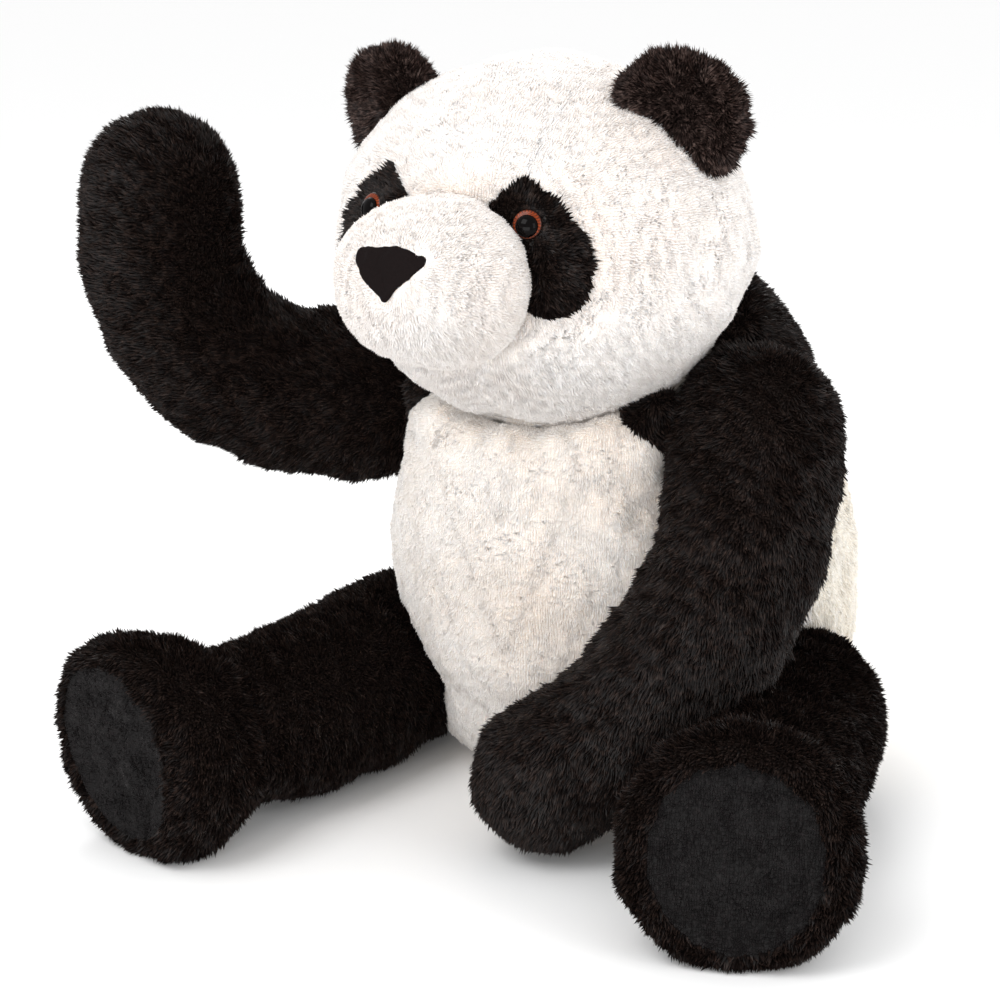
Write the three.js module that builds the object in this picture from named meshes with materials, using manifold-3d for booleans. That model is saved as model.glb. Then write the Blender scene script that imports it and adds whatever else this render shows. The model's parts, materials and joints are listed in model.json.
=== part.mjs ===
// A giant plush panda, seated, with its right paw raised. Millimetres, +Z up, the panda faces -Y and its
// own left side is at +X. The origin is the middle of the flat seat, on the floor.
import * as THREE from 'three';
import Module from 'manifold-3d';
import { mergeVertices } from 'three/addons/utils/BufferGeometryUtils.js';

const wasm = await Module();
wasm.setup();

// ---------------------------------------------------------------- driving dimensions
const gap = 0.35; // between pieces that touch when sewn
const dentGap = 3; // between a limb and the dent that it presses into its neighbour
const cover = 10; // thickness of a cover: pile fabric and its pile
const far = 900; // half a cutting block
const detail = 0.43; // how finely round forms are divided

const facets = (count) => 2 * Math.round((count * detail) / 2);

const torso = {
  // height above the floor, half width, and how far the section has leaned forwards
  sections: [
    [0, 158, 0], [10, 177, 0], [50, 203, 0], [120, 232, 0], [190, 240, 0], [270, 234, 12],
    [340, 224, 28], [400, 211, 40], [450, 192, 46], [495, 158, 46], [528, 104, 44], [546, 0, 42],
  ],
  top: 546,
  depth: 0.97, // depth over width
  seatHeight: 12, // the seat panel is the lowest slice
  seamY: -30, // side seams, where the belly meets the back
  yokeZ: 352, // height of the lower edge of the black shoulder yoke, this far behind the middle
  yokeY: 120,
  yokeTilt: [0, 0.25, 1], // and square to this line, so that it rises towards the front
  bib: { half: 124, z: 398, slope: [0.62, 0.78] }, // edge of the white bib beside the throat
  goreY: -128, // a black gore fills the chest between the bib and the shoulder, in front of this
  strapZ: 362, // behind it the yoke comes forward over the shoulder, above this
};
const head = {
  centre: [0, -168, 567],
  half: [208, 182, 168], // half width, depth and height
  crown: 10, // the top of the head is this much taller
  turned: 190, // radius of the round underside, which turns in the collar about the upright axis
  neckAxis: [0, 0.4, -0.9165], // from the middle of the head to the middle of the collar
  roundCone: 58, // degrees from the neck axis to where the underside stops being round
  faceCone: 84, // degrees to where the full width of the cheeks begins
  gussetHalf: 68,
  gussetZ: 606, // the gusset starts above the muzzle
  gussetRear: 60, // and runs down to the neck behind this distance from the middle
  neckHole: 30, // degrees
};
const collar = { clearance: 8, thickness: 5, slip: 3.2, cone: 40 }; // stuffing wad between head and torso
const muzzle = { centre: [0, -366, 562], half: [92, 82, 76] };
const nose = { halfWidth: 35, top: 603, side: 593, bottom: 557, thickness: 3.2, round: 4, waist: 0.15 };
const faceShift = -8; // the eyes and their patches are sewn a little towards its own right
const patch = {
  // right half seen from the front, from the pointed top round the outside: x and z
  outline: [[72, 655], [101, 638], [132, 606], [141, 578], [135, 549], [119, 532], [101, 528], [80, 537],
    [74, 566], [64, 598], [44, 630]],
};
const eye = { at: [86, 615], iris: 14, irisThick: 4, pupil: 10.5, pupilRise: 6.5, shank: 3, shankLength: 26,
  washer: 12, washerThick: 2.5, washerDepth: 5, facing: [0.32, -0.9, 0.28] };
const ear = { centre: [154, -180, 703], radius: 64, half: 21, cup: 16, turn: 24, roll: 38, lean: 10, cover: 7,
  drop: 14 }; // the right ear is sewn on a little lower
const shoulder = { x: 200, y: -104, z: 386, radius: 86, clearance: 5,
  opening: 60 }; // the arm's cover is open towards the chest, from this far inside the middle
// an arm swings about this axis: forwards and up is positive, and it leans outwards as it goes
const swing = {
  left: { axis: [-1, 0, 0.2], pastTorso: [9, 18, 27, 37, 46, 55], pastLeg: [3, 6, 9, 13] },
  right: { axis: [-1, 0, 0.3], pastTorso: [-15, -30, -45, 12, 25] },
};
const leftArm = {
  path: [[200, -104, 386], [229, -178, 326], [230, -230, 258], [196, -264, 190], [146, -288, 124],
    [98, -318, 86]],
  radii: [85, 83, 80, 77, 75, 73],
};
const rightArm = {
  path: [[-200, -104, 386], [-278, -170, 384], [-342, -222, 414], [-384, -252, 472], [-400, -266, 548],
    [-397, -264, 598]],
  radii: [86, 89, 82, 82, 80, 77],
};
const hip = { radius: 86, clearance: 5 };
const leg = {
  // distance from the hip, radius
  stations: [[0, 86], [110, 85], [210, 79], [276, 72], [312, 74], [340, 91], [368, 102], [394, 104],
    [414, 99], [424, 90]],
  tall: 1.06, // height over width of the section
  // from the hip to the middle of the sole
  left: [[230, -62, 84], [274, -200, 86], [320, -335, 98], [373, -470, 105]],
  right: [[-215, -104, 84], [-207, -250, 86], [-214, -400, 98], [-250, -545, 105]],
  lean: { left: 0.05, right: 0.17 }, // how far the toes stand in front of the heel, over the height
  inwards: 5, // degrees that the right leg can turn towards the other
  openRoot: 62, // the cover is open at the root, this far behind the hip
  openEnd: 40,
};
const solePad = { half: [82, 93], thickness: 7, recess: 3 };
const pelletBag = { radius: 95, height: 46 };
const tail = { centre: [0, 214, 80], half: [44, 46, 34], cover: 7 };
const label = { x: [60, 84], y: [150, 198], z: [22, 22.8] }; // a tab that stands out of the back seam

// ---------------------------------------------------------------- solids and cuts
function solid(geometry) {
  const bare = geometry.index ? geometry.clone() : mergeVertices(geometry);
  bare.deleteAttribute('normal');
  bare.deleteAttribute('uv');
  const merged = mergeVertices(bare, 1e-3);
  const mesh = new wasm.Mesh({
    numProp: 3,
    vertProperties: new Float32Array(merged.attributes.position.array),
    triVerts: new Uint32Array(merged.index.array),
  });
  return new wasm.Manifold(mesh);
}

function geometryOf(manifold) {
  const mesh = manifold.getMesh();
  const geometry = new THREE.BufferGeometry();
  geometry.setAttribute('position', new THREE.BufferAttribute(new Float32Array(mesh.vertProperties), 3));
  geometry.setIndex(new THREE.BufferAttribute(new Uint32Array(mesh.triVerts), 1));
  geometry.computeVertexNormals();
  return geometry;
}

// moves every point of a geometry by a rule
function mapPoints(geometry, rule) {
  const position = geometry.attributes.position;
  const point = new THREE.Vector3();
  for (let i = 0; i < position.count; i += 1) {
    point.fromBufferAttribute(position, i);
    rule(point, i);
    position.setXYZ(i, point.x, point.y, point.z);
  }
  return geometry;
}

function block(x0, x1, y0, y1, z0, z1) {
  const box = new THREE.BoxGeometry(x1 - x0, y1 - y0, z1 - z0);
  return solid(box.translate((x0 + x1) / 2, (y0 + y1) / 2, (z0 + z1) / 2));
}

// the block on the positive side of a plane, held back from it by half a gap
function sideOf(point, normal, sign) {
  const away = new THREE.Vector3(...normal).normalize().multiplyScalar(sign);
  const box = new THREE.BoxGeometry(2 * far, 2 * far, far);
  box.translate(0, 0, far / 2 + gap / 2);
  box.applyQuaternion(new THREE.Quaternion().setFromUnitVectors(new THREE.Vector3(0, 0, 1), away));
  return solid(box.translate(...point));
}

function ball(centre, half, columns = 28, rows = 18) {
  const sphere = new THREE.SphereGeometry(1, facets(columns), facets(rows));
  sphere.rotateX(Math.PI / 2).scale(...half).translate(...centre);
  return solid(sphere);
}

// a solid turned about the upright line through a point, anticlockwise from above
function turned(manifold, [x, y, z], degrees) {
  return manifold.translate([-x, -y, -z]).rotate([0, 0, degrees]).translate([x, y, z]);
}

// a round rod from one point to another
function rod(from, to, radius, sides = 20) {
  const a = new THREE.Vector3(...from);
  const b = new THREE.Vector3(...to);
  const cylinder = new THREE.CylinderGeometry(radius, radius, a.distanceTo(b), facets(sides));
  const way = b.clone().sub(a).normalize();
  cylinder.applyQuaternion(new THREE.Quaternion().setFromUnitVectors(new THREE.Vector3(0, 1, 0), way));
  const middle = a.add(b).multiplyScalar(0.5);
  return solid(cylinder.translate(middle.x, middle.y, middle.z));
}

// A stuffed sleeve: a round section swept along a curve, with its radius given by rings of
// [distance along the curve, radius]. The first and last ring close on the axis.
function sleeve(curve, rings, sides, tall = 1, lean = 0) {
  const length = curve.getLength();
  const steps = 60;
  const frames = curve.computeFrenetFrames(steps, false);
  const sphere = new THREE.SphereGeometry(1, sides, rings.length - 1);
  const columns = sides + 1;
  mapPoints(sphere, (point, index) => {
    const [along, radius] = rings[Math.floor(index / columns)];
    const turn = (2 * Math.PI * (index % columns)) / sides;
    const share = THREE.MathUtils.clamp(along / length, 0, 1);
    const step = Math.round(share * steps);
    const centre = curve.getPointAt(share);
    centre.addScaledVector(curve.getTangentAt(share), along - share * length);
    centre.addScaledVector(frames.normals[step], -radius * Math.cos(turn));
    centre.addScaledVector(frames.binormals[step], radius * Math.sin(turn));
    const rise = tall * (centre.z - curve.getPointAt(share).z);
    point.copy(centre).setZ(curve.getPointAt(share).z + rise);
    point.addScaledVector(curve.getTangentAt(share), lean * share ** 3 * rise);
  });
  const form = solid(sphere);
  return form.volume() > 0 ? form : solid(flipped(sphere));
}

function flipped(geometry) {
  const index = geometry.index.array;
  for (let i = 0; i < index.length; i += 3) {
    [index[i], index[i + 1]] = [index[i + 1], index[i]];
  }
  return geometry;
}

// rings of a round-ended sleeve whose radius passes through even stations
function roundRings(length, radii, trim, rows = 14, capRows = 4) {
  const rings = [];
  const radiusAt = (share) => {
    const place = share * (radii.length - 1);
    const i = Math.min(Math.floor(place), radii.length - 2);
    const eased = THREE.MathUtils.smootherstep(place - i, 0, 1);
    return THREE.MathUtils.lerp(radii[i], radii[i + 1], eased) - trim;
  };
  for (let i = 0; i < capRows; i += 1) {
    const angle = (Math.PI / 2) * (i / capRows);
    rings.push([-radiusAt(0) * Math.cos(angle), radiusAt(0) * Math.sin(angle)]);
  }
  for (let i = 0; i <= rows; i += 1) {
    rings.push([(length * i) / rows, radiusAt(i / rows)]);
  }
  for (let i = capRows - 1; i >= 0; i -= 1) {
    const angle = (Math.PI / 2) * (i / capRows);
    rings.push([length + radiusAt(1) * Math.cos(angle), radiusAt(1) * Math.sin(angle)]);
  }
  return rings;
}

// ---------------------------------------------------------------- forms, each with a trim inwards
function torsoForm(trim) {
  const heights = new THREE.CatmullRomCurve3(
    torso.sections.map(([z, radius, lean]) => new THREE.Vector3(radius, z, lean)), false, 'centripetal');
  const rows = facets(22);
  const points = [];
  const leans = [];
  for (let i = 0; i <= rows; i += 1) {
    const p = heights.getPoint(i / rows);
    const z = THREE.MathUtils.clamp(p.y, trim, torso.top - trim);
    points.push(new THREE.Vector2(i === rows ? 0 : Math.max(p.x - trim, 0), z));
    leans.push(p.z);
  }
  points.unshift(new THREE.Vector2(0, trim));
  leans.unshift(0);
  const lathe = new THREE.LatheGeometry(points, facets(36));
  lathe.rotateX(Math.PI / 2);
  mapPoints(lathe, (point, index) => {
    const row = index % points.length;
    point.y = point.y * torso.depth - leans[row];
  });
  const form = solid(lathe);
  return form.volume() > 0 ? form : solid(flipped(lathe));
}

const neckAxis = new THREE.Vector3(...head.neckAxis).normalize();

function headRadius(direction) {
  const [a, b, low] = head.half;
  const c = direction.z > 0 ? low + head.crown : low;
  const wide = 1 / Math.hypot(direction.x / a, direction.y / b, direction.z / c);
  const round = undersideRadius(direction, 0);
  const cone = THREE.MathUtils.radToDeg(direction.angleTo(neckAxis));
  const share = THREE.MathUtils.smoothstep(cone, head.roundCone, head.faceCone);
  return THREE.MathUtils.lerp(round, wide, share);
}

function undersideRadius(direction, grow) {
  const level = head.turned + grow;
  const low = head.half[2] + grow;
  return 1 / Math.hypot(direction.x / level, direction.y / level, direction.z / low);
}

function headForm(trim, columns = 40, rows = 28) {
  const sphere = new THREE.SphereGeometry(1, facets(columns), facets(rows));
  sphere.rotateX(Math.PI / 2);
  mapPoints(sphere, (point) => {
    const radius = headRadius(point.clone().normalize()) - trim;
    point.setLength(radius);
  });
  return solid(sphere.translate(...head.centre));
}

// the round underside of the head, grown outwards
function undersideForm(grow) {
  const level = head.turned + grow;
  return ball(head.centre, [level, level, head.half[2] + grow], 44, 30);
}

// a cone round the neck axis, with its point in the middle of the head
function neckCone(degrees) {
  const reach = 300;
  const mouth = reach * Math.tan(THREE.MathUtils.degToRad(degrees));
  const cone = new THREE.ConeGeometry(mouth, reach, facets(40));
  cone.translate(0, -reach / 2, 0);
  const way = neckAxis.clone().negate();
  cone.applyQuaternion(new THREE.Quaternion().setFromUnitVectors(new THREE.Vector3(0, 1, 0), way));
  return solid(cone.translate(...head.centre));
}

function armForm(arm, trim) {
  const curve = new THREE.CatmullRomCurve3(arm.path.map((p) => new THREE.Vector3(...p)));
  return sleeve(curve, roundRings(curve.getLength(), arm.radii, trim, facets(16)), facets(22));
}

// the room that an arm takes at each of these degrees of its swing
function swingRoom(arm, axis, angles) {
  const atRest = armForm(arm, -dentGap);
  const pivot = new THREE.Vector3(...arm.path[0]);
  const about = new THREE.Vector3(...axis).normalize();
  const toPivot = new THREE.Matrix4().makeTranslation(pivot.clone().negate());
  return angles.map((degrees) => {
    const turn = new THREE.Matrix4().makeRotationAxis(about, THREE.MathUtils.degToRad(degrees));
    const place = new THREE.Matrix4().makeTranslation(pivot).multiply(turn).multiply(toPivot);
    return atRest.transform(place.elements);
  });
}

function legPath(side) {
  return side > 0 ? leg.left : leg.right;
}

function legLean(side) {
  return side > 0 ? leg.lean.left : leg.lean.right;
}

function legCurve(side) {
  return new THREE.CatmullRomCurve3(legPath(side).map((p) => new THREE.Vector3(...p)));
}

function legForm(side, trim) {
  const curve = legCurve(side);
  const length = curve.getLength();
  const stretch = length / leg.stations[leg.stations.length - 1][0];
  const rings = [];
  const capRows = 4;
  const root = leg.stations[0][1] - trim;
  for (let i = 0; i < capRows; i += 1) {
    const angle = (Math.PI / 2) * (i / capRows);
    rings.push([-root * Math.cos(angle), root * Math.sin(angle)]);
  }
  leg.stations.forEach(([along, radius]) => {
    rings.push([Math.min(along * stretch, length - trim), radius - trim]);
  });
  const last = rings[rings.length - 1];
  rings.push([last[0], 0]);
  return sleeve(curve, rings, facets(24), leg.tall, legLean(side));
}

const shape = {
  torso: torsoForm(0),
  torsoInner: torsoForm(cover),
  head: headForm(0),
  headInner: headForm(cover),
  aboveFloor: block(-far, far, -far, far, 0, far),
  aboveSeatCover: block(-far, far, -far, far, cover + gap, far),
};

const cavity = undersideForm(collar.clearance + collar.thickness + collar.slip);
const shoulderBalls = [1, -1].map((side) => ball([side * shoulder.x, shoulder.y, shoulder.z],
  [1, 1, 1].map((unit) => unit * (shoulder.radius + shoulder.clearance)), 28, 18));
const hipBalls = [1, -1].map((side) => ball(legPath(side)[0],
  [1, 1, leg.tall].map((unit) => unit * (hip.radius + hip.clearance)), 28, 18));

// ---------------------------------------------------------------- colours and the group
const finish = {
  whitePile: { color: 0xf2efe9, roughness: 0.95 },
  creamPile: { color: 0xeee8dd, roughness: 0.95 },
  blackPile: { color: 0x191413, roughness: 0.9 },
  darkNap: { color: 0x1a1718, roughness: 0.8 },
  fibre: { color: 0xe9e9e6, roughness: 1 },
  pellets: { color: 0xd7d3c8, roughness: 0.7 },
  amber: { color: 0xb4541e, roughness: 0.25 },
  blackGloss: { color: 0x050505, roughness: 0.08 },
  nylon: { color: 0x2a2a2c, roughness: 0.5 },
  tape: { color: 0xf4f4f2, roughness: 0.6 },
};

const group = new THREE.Group();

function addPiece(name, manifold, look) {
  const material = new THREE.MeshStandardMaterial({ metalness: 0, ...finish[look] });
  const mesh = new THREE.Mesh(geometryOf(manifold), material);
  mesh.name = name;
  group.add(mesh);
}

// ---------------------------------------------------------------- torso
// the limbs at rest press dents into the body, and the right leg has room to turn inwards
const dents = [
  ...swingRoom(leftArm, swing.left.axis, [0, ...swing.left.pastTorso]),
  ...swingRoom(rightArm, swing.right.axis, [0, ...swing.right.pastTorso]),
  legForm(1, -dentGap),
  legForm(-1, -dentGap),
  turned(legForm(-1, -dentGap), leg.right[0], leg.inwards),
];

function clearOf(piece, cuts) {
  return cuts.reduce((left, cut) => left.subtract(cut), piece);
}

function clearOfLimbs(piece) {
  return clearOf(piece, [cavity, ...shoulderBalls, ...hipBalls, ...dents]);
}

function addTorso() {
  const shell = clearOfLimbs(shape.torso.subtract(shape.torsoInner));
  const seat = block(-far, far, -far, far, -1, torso.seatHeight);
  const upper = block(-far, far, -far, far, torso.seatHeight + gap, far);
  const front = sideOf([0, torso.seamY, 0], [0, -1, 0], 1);
  const rear = sideOf([0, torso.seamY, 0], [0, 1, 0], 1);
  const above = sideOf([0, torso.yokeY, torso.yokeZ], torso.yokeTilt, 1);
  const below = sideOf([0, torso.yokeY, torso.yokeZ], torso.yokeTilt, -1);
  const bagTop = cover + 2 * gap + pelletBag.height;
  const bagPocket = rod([0, 0, 0], [0, 0, bagTop + gap], pelletBag.radius + gap, 28);
  const { half, z, slope: [across, up] } = torso.bib;
  const goreLine = (sign) => sideOf([0, torso.goreY, 0], [0, -1, 0], sign);
  const strapLine = (sign) => sideOf([0, 0, torso.strapZ], [0, 0, 1], sign);
  const beside = (side, sign) => sideOf([side * half, 0, z], [side * across, 0, up], sign);
  const bib = beside(1, -1).intersect(beside(-1, -1)).add(goreLine(-1).intersect(strapLine(-1)));
  const overSeam = sideOf([0, torso.seamY + 4 * gap, 0], [0, -1, 0], 1).intersect(above);
  const shoulders = goreLine(-1).intersect(strapLine(1)).intersect(front.add(overSeam));
  const straps = shoulders.intersect(beside(1, 1).add(beside(-1, 1)));
  addPiece('seat_panel', shell.intersect(seat), 'whitePile');
  addPiece('belly_panel', shell.intersect(upper).intersect(front).intersect(bib), 'whitePile');
  addPiece('left_chest_gore', shell.intersect(goreLine(1)).intersect(beside(1, 1)), 'blackPile');
  addPiece('right_chest_gore', shell.intersect(goreLine(1)).intersect(beside(-1, 1)), 'blackPile');
  addPiece('back_panel', shell.intersect(upper).intersect(rear).intersect(below), 'creamPile');
  addPiece('shoulder_yoke', shell.intersect(rear.intersect(above).add(straps)), 'blackPile');
  const stuffing = clearOfLimbs(torsoForm(cover + gap)).intersect(shape.aboveSeatCover);
  addPiece('torso_stuffing', stuffing.subtract(bagPocket), 'fibre');
  const bag = rod([0, 0, cover + 2 * gap], [0, 0, bagTop], pelletBag.radius, 28);
  addPiece('seat_pellet_bag', bag, 'pellets');
}

function addTail() {
  const { centre, half } = tail;
  const outer = ball(centre, half, 20, 14).subtract(torsoForm(-gap));
  const cavityHalf = half.map((h) => h - tail.cover);
  const inner = ball(centre, cavityHalf, 20, 14);
  addPiece('tail_cover', outer.subtract(inner), 'whitePile');
  const filling = ball(centre, cavityHalf.map((h) => h - gap), 20, 14).subtract(torsoForm(-gap));
  addPiece('tail_stuffing', filling, 'fibre');
  addPiece('seam_label', block(...label.x, ...label.y, ...label.z).subtract(torsoForm(-gap)), 'tape');
}

// ---------------------------------------------------------------- head
const faceward = new THREE.Vector3(0, -1, 0);

function addEye(side, name) {
  const [x, z] = eye.at;
  const [sideways, forwards, upwards] = eye.facing;
  const out = new THREE.Vector3(side * sideways, forwards, upwards).normalize();
  const start = new THREE.Vector3(side * x + faceShift, head.centre[1], z);
  const surface = start.clone();
  // walk forwards until the point leaves the head
  const middle = new THREE.Vector3(...head.centre);
  while (surface.distanceTo(middle) < headRadius(surface.clone().sub(middle).normalize())) {
    surface.addScaledVector(faceward, 0.5);
  }
  const along = (distance) => surface.clone().addScaledVector(out, distance).toArray();
  const irisBase = 1.5;
  const irisTop = irisBase + eye.irisThick;
  const washerTop = -cover - eye.washerDepth;
  const clear = 40; // well outside the head
  const iris = rod(along(irisBase), along(irisTop), eye.iris, 28);
  const dome = new THREE.SphereGeometry(1, facets(28), facets(8), 0, 2 * Math.PI, 0, Math.PI / 2);
  const floor = new THREE.CircleGeometry(1, facets(28)).rotateX(Math.PI / 2);
  const domed = closeDome(dome, floor);
  domed.scale(eye.pupil, eye.pupilRise, eye.pupil);
  domed.applyQuaternion(new THREE.Quaternion().setFromUnitVectors(new THREE.Vector3(0, 1, 0), out));
  domed.translate(...along(irisTop + gap));
  const shank = rod(along(irisBase - gap), along(irisBase - eye.shankLength), eye.shank, 14);
  const washerBase = washerTop - eye.washerThick;
  const washer = rod(along(washerTop), along(washerBase), eye.washer, 24);
  const bore = rod(along(cover), along(irisBase - eye.shankLength - gap), eye.shank + gap, 14);
  const seat = rod(along(irisBase - gap), along(clear), eye.iris + gap, 28);
  const washerRoom = rod(along(0), along(washerBase - gap), eye.washer + gap, 24);
  addPiece(`${name}_eye_iris`, iris, 'amber');
  addPiece(`${name}_eye_pupil`, solid(domed), 'blackGloss');
  addPiece(`${name}_eye_shank`, shank, 'nylon');
  addPiece(`${name}_eye_washer`, washer.subtract(bore), 'nylon');
  return { cover: bore.add(seat), stuffing: bore.add(washerRoom) };
}

function closeDome(dome, floor) {
  const joined = new THREE.BufferGeometry();
  const first = dome.attributes.position.array;
  const second = floor.attributes.position.array;
  joined.setAttribute('position', new THREE.BufferAttribute(new Float32Array([...first, ...second]), 3));
  const shift = dome.attributes.position.count;
  joined.setIndex([...dome.index.array, ...[...floor.index.array].map((i) => i + shift)]);
  return joined;
}

// a prism along Y with the outline of an eye patch
function patchPrism(side, grow) {
  const points = patch.outline.map(([x, z]) => new THREE.Vector2(side * x + faceShift, z));
  const middle = points.reduce((sum, p) => sum.add(p), new THREE.Vector2()).divideScalar(points.length);
  points.forEach((p) => p.add(p.clone().sub(middle).setLength(grow)));
  const outline = new THREE.Shape(side > 0 ? points : points.reverse());
  const prism = new THREE.ExtrudeGeometry(outline, { depth: far, bevelEnabled: false });
  prism.rotateX(Math.PI / 2);
  return solid(prism.translate(0, head.centre[1], 0));
}

function nosePrism() {
  const { halfWidth, top, side, bottom, round } = nose;
  const corner = halfWidth - round;
  const outline = new THREE.Shape();
  outline.moveTo(-corner, side + round);
  outline.quadraticCurveTo(0, top + round, corner, side + round);
  outline.quadraticCurveTo(halfWidth + round, side, corner, side - 2 * round);
  outline.quadraticCurveTo(halfWidth * nose.waist, bottom + round, 0, bottom);
  outline.quadraticCurveTo(-halfWidth * nose.waist, bottom + round, -corner, side - 2 * round);
  outline.quadraticCurveTo(-halfWidth - round, side, -corner, side + round);
  const prism = new THREE.ExtrudeGeometry(outline, { depth: far, bevelEnabled: false, curveSegments: 5 });
  prism.rotateX(Math.PI / 2);
  return solid(prism.translate(0, muzzle.centre[1], 0));
}

function muzzleForm(trim) {
  return ball(muzzle.centre, muzzle.half.map((h) => h - trim), 32, 22);
}

function addMuzzle() {
  const clearOfHead = headForm(-gap);
  addPiece('muzzle_cover', muzzleForm(0).subtract(muzzleForm(cover)).subtract(clearOfHead), 'whitePile');
  addPiece('muzzle_stuffing', muzzleForm(cover + gap).subtract(clearOfHead), 'fibre');
  const lift = muzzleForm(-gap - nose.thickness).subtract(muzzleForm(-gap));
  addPiece('nose_patch', lift.intersect(nosePrism()), 'darkNap');
}

// an ear stands as a cupped disc about its own middle, and is then turned into place
function placeEar(geometry, side) {
  mapPoints(geometry, (point) => {
    point.y -= (ear.cup * (point.x ** 2 + point.z ** 2)) / ear.radius ** 2;
  });
  geometry.rotateX(THREE.MathUtils.degToRad(ear.lean));
  geometry.rotateY(THREE.MathUtils.degToRad(side * ear.roll));
  geometry.rotateZ(THREE.MathUtils.degToRad(side * ear.turn));
  const lowered = side > 0 ? 0 : ear.drop;
  geometry.translate(side * ear.centre[0], ear.centre[1], ear.centre[2] - lowered);
  return solid(geometry);
}

function earForm(side, trim) {
  const disc = new THREE.SphereGeometry(1, facets(26), facets(16));
  return placeEar(disc.scale(ear.radius - trim, ear.half - trim, ear.radius - trim), side);
}

function earHalf(side, front) {
  const deep = 3 * ear.half;
  const slab = new THREE.BoxGeometry(3 * ear.radius, deep, 3 * ear.radius, 8, 1, 8);
  return placeEar(slab.translate(0, (front * (deep + gap)) / 2, 0), side);
}

function addEar(side, name) {
  const clearOfHead = headForm(-gap);
  const shell = earForm(side, 0).subtract(earForm(side, ear.cover)).subtract(clearOfHead);
  addPiece(`${name}_ear_front`, shell.intersect(earHalf(side, -1)), 'blackPile');
  addPiece(`${name}_ear_back`, shell.intersect(earHalf(side, 1)), 'blackPile');
  addPiece(`${name}_ear_stuffing`, earForm(side, ear.cover + gap).subtract(clearOfHead), 'fibre');
}

function addHead() {
  const eyes = [addEye(1, 'left'), addEye(-1, 'right')];
  const neckHole = neckCone(head.neckHole);
  let shell = shape.head.subtract(shape.headInner).subtract(neckHole);
  let filling = headForm(cover + gap);
  eyes.forEach((room) => {
    filling = filling.subtract(room.stuffing);
  });
  [['left', 1], ['right', -1]].forEach(([name, side], i) => {
    const piece = shell.intersect(patchPrism(side, 0)).subtract(eyes[i].cover);
    addPiece(`${name}_eye_patch`, piece, 'blackPile');
    shell = shell.subtract(patchPrism(side, gap)).subtract(eyes[i].cover);
  });
  const strip = (grow) => {
    const w = head.gussetHalf + grow;
    const rear = head.centre[1] + head.gussetRear - grow;
    return block(-w, w, -far, far, head.gussetZ - grow, far).add(block(-w, w, rear, far, 0, far));
  };
  const sides = shell.subtract(strip(gap));
  addPiece('head_crown_gusset', shell.intersect(strip(0)), 'whitePile');
  addPiece('head_left_side', sides.intersect(sideOf([0, 0, 0], [1, 0, 0], 1)), 'whitePile');
  addPiece('head_right_side', sides.intersect(sideOf([0, 0, 0], [1, 0, 0], -1)), 'whitePile');
  addPiece('head_stuffing', filling, 'fibre');
  addMuzzle();
  addEar(1, 'left');
  addEar(-1, 'right');
}

function addNeck() {
  const wad = undersideForm(collar.clearance + collar.thickness).subtract(undersideForm(collar.clearance));
  addPiece('neck_stuffing', wad.intersect(neckCone(collar.cone)), 'fibre');
}

// ---------------------------------------------------------------- limbs
function addArm(arm, name) {
  const outer = armForm(arm, 0);
  const shell = outer.subtract(armForm(arm, cover));
  const points = arm.path.map((p) => new THREE.Vector3(...p));
  const plane = new THREE.Plane().setFromCoplanarPoints(points[0], points[3], points[5]);
  if (plane.normal.y > 0) {
    plane.normal.negate();
  }
  const inwards = points[0].x > 0 ? -1 : 1;
  const besideChest = sideOf([points[0].x + inwards * shoulder.opening, 0, 0], [inwards, 0, 0], 1);
  const atShoulder = block(-far, far, -far, far, shoulder.z - shoulder.radius, far);
  const open = shell.subtract(besideChest.intersect(atShoulder));
  const onPlane = points[0].toArray();
  addPiece(`${name}_arm_front`, open.intersect(sideOf(onPlane, plane.normal.toArray(), 1)), 'blackPile');
  addPiece(`${name}_arm_back`, open.intersect(sideOf(onPlane, plane.normal.toArray(), -1)), 'blackPile');
  addPiece(`${name}_arm_stuffing`, armForm(arm, cover + gap), 'fibre');
}

function addLeg(side, name, keepOut) {
  const curve = legCurve(side);
  const start = curve.getPoint(0);
  const sole = curve.getPoint(1);
  const toe = curve.getTangent(1).setZ(0).normalize();
  const root = curve.getTangent(0).setZ(0).normalize();
  const along = sole.clone().sub(start);
  const upright = new THREE.CylinderGeometry(1, 1, 2, facets(32));
  const disc = (grow, from, to) => {
    const pad = upright.clone().scale(solePad.half[0] + grow, (to - from) / 2, solePad.half[1] + grow);
    pad.applyQuaternion(new THREE.Quaternion().setFromUnitVectors(new THREE.Vector3(0, 1, 0), toe));
    const middle = sole.clone().addScaledVector(toe, (from + to) / 2);
    pad.translate(middle.x, middle.y, middle.z);
    return solid(mapPoints(pad, (point) => point.addScaledVector(toe, legLean(side) * (point.z - sole.z))));
  };
  const padOuter = -solePad.recess;
  const padInner = padOuter - solePad.thickness;
  const outer = clearOf(legForm(side, 0).intersect(shape.aboveFloor), keepOut);
  const inner = legForm(side, cover).intersect(shape.aboveSeatCover);
  const shell = outer.subtract(inner).subtract(disc(gap, padInner - gap, leg.openEnd));
  const behind = start.clone().addScaledVector(root, -leg.openRoot).toArray();
  const open = shell.intersect(sideOf(behind, root.toArray(), 1));
  const across = [-along.y * side, along.x * side, 0];
  addPiece(`${name}_leg_inner`, open.intersect(sideOf(start.toArray(), across, -1)), 'blackPile');
  addPiece(`${name}_leg_outer`, open.intersect(sideOf(start.toArray(), across, 1)), 'blackPile');
  addPiece(`${name}_sole_pad`, disc(0, padInner, padOuter), 'darkNap');
  const above = block(-far, far, -far, far, cover + 2 * gap, far);
  const padRoom = disc(1, padInner - gap, leg.openEnd);
  const filling = legForm(side, cover + gap).intersect(above).subtract(padRoom);
  addPiece(`${name}_leg_stuffing`, clearOf(filling, keepOut), 'fibre');
}

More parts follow.
